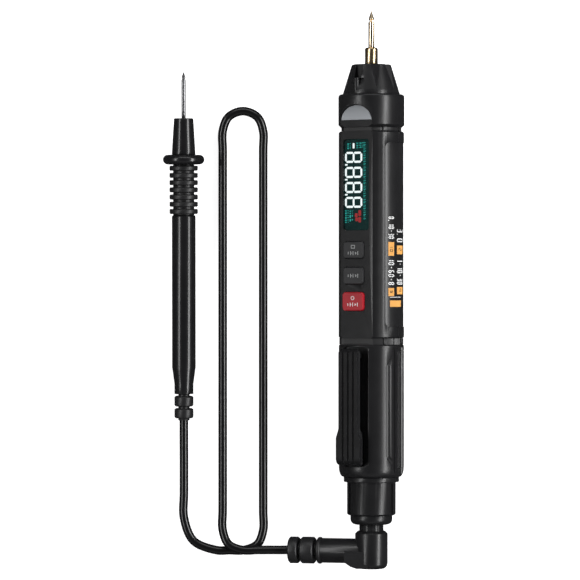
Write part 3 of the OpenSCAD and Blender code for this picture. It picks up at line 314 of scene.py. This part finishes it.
# Printed and lit marks
class Marks:
    """One mesh of thin plates laid on a surface; each plate has a material of its own."""

    def __init__(self, name, body, slot, place, mats):
        self.name, self.body, self.slot = name, body, slot
        self.place, self.mats = place, mats
        self.verts, self.faces, self.index = [], [], []

    def plate(self, outline, mat, low, high):
        """Plate between two levels over the surface."""
        first = len(self.verts)
        count = len(outline)
        self.verts += [self.place(x, y, low) for x, y in outline]
        self.verts += [self.place(x, y, high) for x, y in outline]
        self.faces.append([first + count + i for i in range(count)])
        self.faces.append([first + i for i in reversed(range(count))])
        for i in range(count):
            j = (i + 1) % count
            self.faces.append([first + i, first + j, first + count + j, first + count + i])
        self.index += [self.mats.index(mat)] * (count + 2)

    def bar(self, x0, x1, y0, y1, mat, low, high, cut=0.0, step=math.inf):
        """Straight bar, with cut corners or in parts no longer than the step."""
        parts = max(1, math.ceil((x1 - x0) / step))
        for i in range(parts):
            a = x0 + (x1 - x0) * i / parts
            b = x0 + (x1 - x0) * (i + 1) / parts
            if cut and parts == 1:
                c = min(cut, (b - a) / 2.01, (y1 - y0) / 2.01)
                self.plate([(a + c, y0), (b - c, y0), (b, y0 + c), (b, y1 - c), (b - c, y1),
                            (a + c, y1), (a, y1 - c), (a, y0 + c)], mat, low, high)
            else:
                self.plate([(a, y0), (b, y0), (b, y1), (a, y1)], mat, low, high)

    def build(self):
        """Blender object of all the plates so far."""
        mesh = bpy.data.meshes.new(self.name)
        mesh.from_pydata([tuple(v) for v in self.verts], [], self.faces)
        for m in self.mats:
            mesh.materials.append(m)
        for poly, i in zip(mesh.polygons, self.index):
            poly.material_index = i
        mesh.validate()
        obj = bpy.data.objects.new(self.name, mesh)
        bpy.context.collection.objects.link(obj)
        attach(obj, self.body)
        return obj


SEGMENTS = {"0": "abcdef", "1": "bc", "2": "abged", "3": "abgcd", "4": "fgbc", "5": "afgcd",
            "6": "afgedc", "7": "abc", "8": "abcdefg", "9": "abfgcd", "-": "g", ".": "p"}
SEGMENT_GAP_SHARE = 0.14


def digit_bars(char, high, wide, stroke):
    """Outlines of a plain digit's bars. Its top points along +x, and its width counts towards -y."""
    s = stroke / 2
    gap = stroke * SEGMENT_GAP_SHARE
    rows = {"d": s, "g": high / 2, "a": high - s}
    outlines = []
    for name in SEGMENTS[char]:
        if name in rows:
            h = rows[name]
            y0, y1 = s + gap, wide - s - gap
            outline = [(h, y0), (h + s, y0 + s), (h + s, y1 - s), (h, y1), (h - s, y1 - s), (h - s, y0 + s)]
        elif name == "p":
            outline = [(0, 0), (stroke, 0), (stroke, stroke), (0, stroke)]
        else:
            low_half = name in "ec"
            y_mid = s if name in "ef" else wide - s
            x0 = s + gap if low_half else high / 2 + gap
            x1 = high / 2 - gap if low_half else high - s - gap
            outline = [(x0, y_mid), (x0 + s, y_mid + s), (x1 - s, y_mid + s), (x1, y_mid),
                       (x1 - s, y_mid - s), (x0 + s, y_mid - s)]
        outlines.append(outline)
    return outlines


def digit(marks, char, x, y, high, wide, stroke, mat, low, top):
    """Plain digit of bars on the flat face, read towards -y from y."""
    for outline in digit_bars(char, high, wide, stroke):
        marks.plate([(x + a, y - b) for a, b in outline], mat, low, top)


def digit_arc(marks, char, x, y, high, wide, stroke, mat, low, top):
    """The same digit on the round label, where x and the height are in degrees."""
    per_mm = 180 / (math.pi * LABEL_R)
    for outline in digit_bars(char, high / per_mm, wide, stroke):
        marks.plate([(x + a * per_mm, y - b) for a, b in outline], mat, low, top)


# Display: its level over the pen's axis, its dark plate, and places in pixels of the photograph
LCD_LEVEL = 9.43
LCD_HALF_T = 0.01
PLATE_T = 0.006
PLATE_LEFT = -6.2
PLATE_RIGHT = 5.5
PLATE_HALF_LEN = 17.5
PLATE_CUT = 1.1
WINDOW_LEN = 35.1
WINDOW_FRONT = 3.1
DIGIT_FOOT_PX = 344.9
DIGIT_HEAD_PX = 361.8
DIGIT_TOPS_PX = (152.4, 167.4, 182.4, 197.2)
DIGIT_WIDE_PX = 11
DIGIT_STROKE = 0.82
POINT_HEAD_PX = 347.3
POINT_ROWS_PX = (165.2, 180.0, 195.0)
POINT_HALF = 0.32
MINUS_PX = (352.4, 354.2)
MINUS_ROWS_PX = (149, 143.8)
LIT_CUT = 0.1
# Left edge, top, width and lengths of each column of small signs, the gap along it, and the gap and width
# of the shorter column beside it
WAVE_PX = [1.2 + 0.7 * math.sin(2.1 * i) for i in range(37)]
SIGN_COLUMNS_PX = ((347.2, 143.8, 1.4, (1.4, 1, 1.6), 0.9, 0.9),
                   (356.2, 143.4, 1.2, (1.2, 1.6, 1), 0.9, 0.9),
                   (359.8, 143.2, 1.2, (1.6, 0.8, 1.4), 0.9, 0.9),
                   (363.2, 143, 0.9, WAVE_PX, 0.9, 0.6),
                   (345, 210.6, 1.5, (1.2, 1.8, 1, 1.6, 1.4, 1), 0.9, 0.9),
                   (349.4, 211, 1.3, (1, 1, 3, 2.4), 1.1, 0.9))
SHORT_SIGN_SHARE = 0.6
SHORT_SIGN_CUT = 0.05
# Left edge, top, width and length of each red blot
RED_PX = ((358, 210.5, 2.6, 6), (354.6, 213.6, 2.6, 4), (355, 218, 2.6, 3.6), (358, 217.4, 2.6, 5.4))
RED_CUT = 0.25


def display_picture():
    """Four plain digits between small signs, under the clear window."""
    low, high = LCD_LEVEL - LCD_HALF_T, LCD_LEVEL + LCD_HALF_T
    marks = Marks("display_picture", "pen", "lcd_dark", lambda x, y, h: pen_point(h, x, y),
                  [lcd_back, lcd_white, lcd_teal, lcd_red])
    mid = BODY_Z + BODY_LEN - WINDOW_FRONT - WINDOW_LEN / 2
    marks.bar(PLATE_LEFT, PLATE_RIGHT, mid - PLATE_HALF_LEN, mid + PLATE_HALF_LEN, lcd_back,
              low - PLATE_T, low, cut=PLATE_CUT)

    def u(px):
        return across(px, LCD_LEVEL)

    def sign_column(px, py, wide, lengths, step, thick):
        """Two columns of dashes down the photograph, the second one shorter."""
        for length in lengths:
            marks.bar(u(px), u(px + wide), along(py + length), along(py), lcd_teal, low, high, cut=LIT_CUT)
            marks.bar(u(px + wide + thick), u(px + wide + 2 * thick), along(py + length * SHORT_SIGN_SHARE),
                      along(py), lcd_teal, low, high, cut=SHORT_SIGN_CUT)
            py += length + step

    foot, head = u(DIGIT_FOOT_PX), u(DIGIT_HEAD_PX)
    for top in DIGIT_TOPS_PX:
        digit(marks, "8", foot, along(top), head - foot, DIGIT_WIDE_PX * PX, DIGIT_STROKE, lcd_white,
              low, high)
    for row in POINT_ROWS_PX:
        marks.bar(foot, u(POINT_HEAD_PX), along(row) - POINT_HALF, along(row) + POINT_HALF, lcd_white,
                  low, high, cut=LIT_CUT)
    marks.bar(u(MINUS_PX[0]), u(MINUS_PX[1]), along(MINUS_ROWS_PX[0]), along(MINUS_ROWS_PX[1]), lcd_white,
              low, high, cut=LIT_CUT)
    for column in SIGN_COLUMNS_PX:
        sign_column(*column)
    for px, py, wide, length in RED_PX:
        marks.bar(u(px), u(px + wide), along(py + length), along(py), lcd_red, low, high, cut=RED_CUT)
    return marks.build()


# Label: levels from its surface, and places in pixels of the photograph
LABEL_LOW = -0.03
LABEL_HIGH = 0.06
BOX_PRINT_T = 0.012
ARC_STEP = 4
LABEL_COLUMNS_PX = ((387.6, 393.4, ((217, 240, ink_white, "0.10-30"), (242.4, 256, ink_orange, "10"),
                                    (258.5, 286, ink_white, "10-60-8"), (288, 296, ink_orange, "3"))),
                    (396.3, 402.0, ((229, 243.6, ink_white, "3.0"), (245.7, 254.4, ink_orange, "2"),
                                    (259, 285.5, ink_white, "1-10-30"), (287, 294.2, ink_orange, "4"))))
RULE_PX = (389, 400)
RULE_ROWS_PX = (297.4, 296.9)
FOOT_BOX_PX = (389.2, 400.3)
FOOT_BOX_ROWS_PX = (306.7, 300.4)
BOX_DIGIT_FROM_SHARE = 0.25
BOX_DIGIT_SHARE = 0.5
BOX_DIGIT_WIDE = 1.1
BOX_STROKE = 0.26
BOX_PITCH_SHARE = 1.4
ROW_PITCH_SHARE = 1.35
ROW_STROKE = 0.36


def label_print():
    """Rows of plain digits and orange boxes on the round label."""
    def place(x, y, h):
        turn = math.radians(x)
        r = LABEL_R + h
        return pen_point(r * math.cos(turn), r * math.sin(turn), y)

    def a(px):
        return around(px, LABEL_R)

    marks = Marks("label_print", "pen", "label_black", place, [ink_white, ink_orange, label_film])
    low, high = LABEL_LOW, LABEL_HIGH
    for left, right, items in LABEL_COLUMNS_PX:
        tall = a(right) - a(left)
        for top, foot, ink, text in items:
            length = (foot - top) * PX
            if ink is ink_orange:
                marks.bar(a(left), a(right), along(foot), along(top), ink, low, high, step=ARC_STEP)
                pitch = BOX_DIGIT_WIDE * BOX_PITCH_SHARE
                start = along(top) - (length - len(text) * pitch) / 2
                for i, char in enumerate(text):
                    digit_arc(marks, char, a(left) + tall * BOX_DIGIT_FROM_SHARE, start - i * pitch,
                              tall * BOX_DIGIT_SHARE, BOX_DIGIT_WIDE, BOX_STROKE, label_film,
                              high, high + BOX_PRINT_T)
            else:
                wide = length / (len(text) * ROW_PITCH_SHARE)
                for i, char in enumerate(text):
                    digit_arc(marks, char, a(left), along(top) - i * wide * ROW_PITCH_SHARE, tall, wide,
                              ROW_STROKE, ink, low, high)
    for edges, rows, ink in ((RULE_PX, RULE_ROWS_PX, ink_white),
                             (FOOT_BOX_PX, FOOT_BOX_ROWS_PX, ink_orange)):
        marks.bar(a(edges[0]), a(edges[1]), along(rows[0]), along(rows[1]), ink, low, high, step=ARC_STEP)
    return marks.build()


# Keys: name, slot, place along the body, height over the flat face and ink of each
KEY_SIDE = -1.2
POWER_Z = 14.2
KEY_PITCH = 9.9
KEYS = (("mode", "key_black", POWER_Z + 2 * KEY_PITCH, 0.8, ink_grey),
        ("hold", "key_black", POWER_Z + KEY_PITCH, 0.8, ink_grey),
        ("power", "key_red", POWER_Z, 1.1, ink_white))
KEY_LOW = -0.01
KEY_HIGH = 0.02
STROKE = 0.3
STROKE_LENGTHS = (1.0, 1.5, 1.5, 1.0, 1.5)
STROKE_FROM = -2.3
STROKE_PITCH = 1.1
STROKE_CUT = 0.08
STROKES_WITH_ARM = (1, 3)
ARM_END_SHARE = 2.2
ROW_DROP = 1.2
FRAME_HALF = 0.9
FRAME_FOOT = 0.6
FRAME_HEAD = 1.9
FRAME_LINE = 0.22
RING_STEPS = 16
RING_IN_R = 0.55
RING_OUT_R = 0.78
RING_RISE = 1.3


def stroke_row(marks, ink, row):
    """Row of upright strokes, two of them with a short arm."""
    for i, tall in enumerate(STROKE_LENGTHS):
        x = KEY_SIDE + STROKE_FROM + i * STROKE_PITCH
        marks.bar(x, x + STROKE, row - tall / 2, row + tall / 2, ink, KEY_LOW, KEY_HIGH, cut=STROKE_CUT)
        if i in STROKES_WITH_ARM:
            marks.bar(x + STROKE, x + ARM_END_SHARE * STROKE, row - STROKE / 2, row + STROKE / 2, ink,
                      KEY_LOW, KEY_HIGH)


def small_frame(marks, ink, mid):
    """Small open frame over the middle of a key."""
    left, right = KEY_SIDE - FRAME_HALF, KEY_SIDE + FRAME_HALF
    foot, head = mid + FRAME_FOOT, mid + FRAME_HEAD
    marks.bar(left, right, foot, foot + FRAME_LINE, ink, KEY_LOW, KEY_HIGH)
    marks.bar(left, right, head - FRAME_LINE, head, ink, KEY_LOW, KEY_HIGH)
    marks.bar(left, left + FRAME_LINE, foot + FRAME_LINE, head - FRAME_LINE, ink, KEY_LOW, KEY_HIGH)
    marks.bar(right - FRAME_LINE, right, foot + FRAME_LINE, head - FRAME_LINE, ink, KEY_LOW, KEY_HIGH)


def small_ring(marks, ink, mid):
    """Small ring over the middle of a key."""
    for i in range(RING_STEPS):
        t0, t1 = (math.tau * k / RING_STEPS for k in (i, i + 1))
        corners = ((RING_IN_R, t0), (RING_OUT_R, t0), (RING_OUT_R, t1), (RING_IN_R, t1))
        marks.plate([(KEY_SIDE + q * math.cos(t), mid + RING_RISE + q * math.sin(t)) for q, t in corners],
                    ink, KEY_LOW, KEY_HIGH)


def key_marks():
    """Plain signs on the keys: strokes on all, below a frame on one and below a ring on another."""
    for name, slot, z, raise_by, ink in KEYS:
        top = FACE_N + raise_by
        marks = Marks(name + "_marks", name + "_key", slot,
                      lambda x, y, h, top=top: pen_point(top + h, x, y), [ink])
        mid = BODY_Z + z
        stroke_row(marks, ink, mid if name == "hold" else mid - ROW_DROP)
        if name == "mode":
            small_frame(marks, ink, mid)
        if name == "power":
            small_ring(marks, ink, mid)
        marks.build()


display_picture()
label_print()
key_marks()

# Floor, light and surroundings, in metres
FLOOR_HALF = 2.0
FLOOR_Z = -0.0002
FLOOR_GLOW = 0.85
# Stops over the z of the direction looked in, and the light at each
SKY = ((0.0, 0.03), (0.3, 0.1), (0.5, 0.28), (0.68, 0.28), (0.85, 0.07), (1.0, 0.04))
# Name, place, the two sides and the power of each light
LIGHTS = (("right_strip", (1.0, 0.0, 0.8), (1.4, 0.26), 14),
          ("left_strip", (-0.9, 0.1, 0.85), (1.2, 0.2), 6),
          ("far_soft", (0.1, 1.1, 0.7), (1.2, 0.4), 3))


def make_floor():
    """Plain pale floor that shiny pieces don't mirror."""
    corners = ((-FLOOR_HALF, -FLOOR_HALF), (FLOOR_HALF, -FLOOR_HALF), (FLOOR_HALF, FLOOR_HALF),
               (-FLOOR_HALF, FLOOR_HALF))
    mesh = bpy.data.meshes.new("floor")
    mesh.from_pydata([(x, y, FLOOR_Z) for x, y in corners], [], [(0, 1, 2, 3)])
    floor = bpy.data.objects.new("floor", mesh)
    bpy.context.collection.objects.link(floor)
    skin = finish("floor_white", (0.93, 0.93, 0.93), 0.7, vary=0.01, grain=300, depth=0.01, spec=0.1)
    bsdf = skin.node_tree.nodes["Principled BSDF"]
    bsdf.inputs["Emission Color"].default_value = (1, 1, 1, 1)
    bsdf.inputs["Emission Strength"].default_value = FLOOR_GLOW
    mesh.materials.append(skin)
    floor.visible_glossy = False
    return floor


def make_sky():
    """Grey surroundings whose light changes with height."""
    world = bpy.data.worlds.new("world")
    bpy.context.scene.world = world
    world.use_nodes = True
    tree = world.node_tree
    coord = tree.nodes.new("ShaderNodeTexCoord")
    parts = tree.nodes.new("ShaderNodeSeparateXYZ")
    ramp = tree.nodes.new("ShaderNodeValToRGB")
    stops = ramp.color_ramp.elements
    while len(stops) < len(SKY):
        stops.new(0.5)
    for stop, (place, light) in zip(stops, SKY):
        stop.position = place
        stop.color = (light, light, light, 1)
    tree.links.new(coord.outputs["Generated"], parts.inputs["Vector"])
    tree.links.new(parts.outputs["Z"], ramp.inputs["Fac"])
    tree.links.new(ramp.outputs["Color"], tree.nodes["Background"].inputs["Color"])


def area_light(name, place, size, power):
    """Rectangular light that faces the middle of the object."""
    data = bpy.data.lights.new(name, "AREA")
    data.shape = "RECTANGLE"
    data.size, data.size_y = size
    data.energy = power
    light = bpy.data.objects.new(name, data)
    bpy.context.collection.objects.link(light)
    light.location = place
    light.rotation_euler = (-Vector(place)).to_track_quat("-Z", "Y").to_euler()


make_floor()
make_sky()
bpy.context.scene.view_settings.view_transform = "Standard"
for light in LIGHTS:
    area_light(*light)
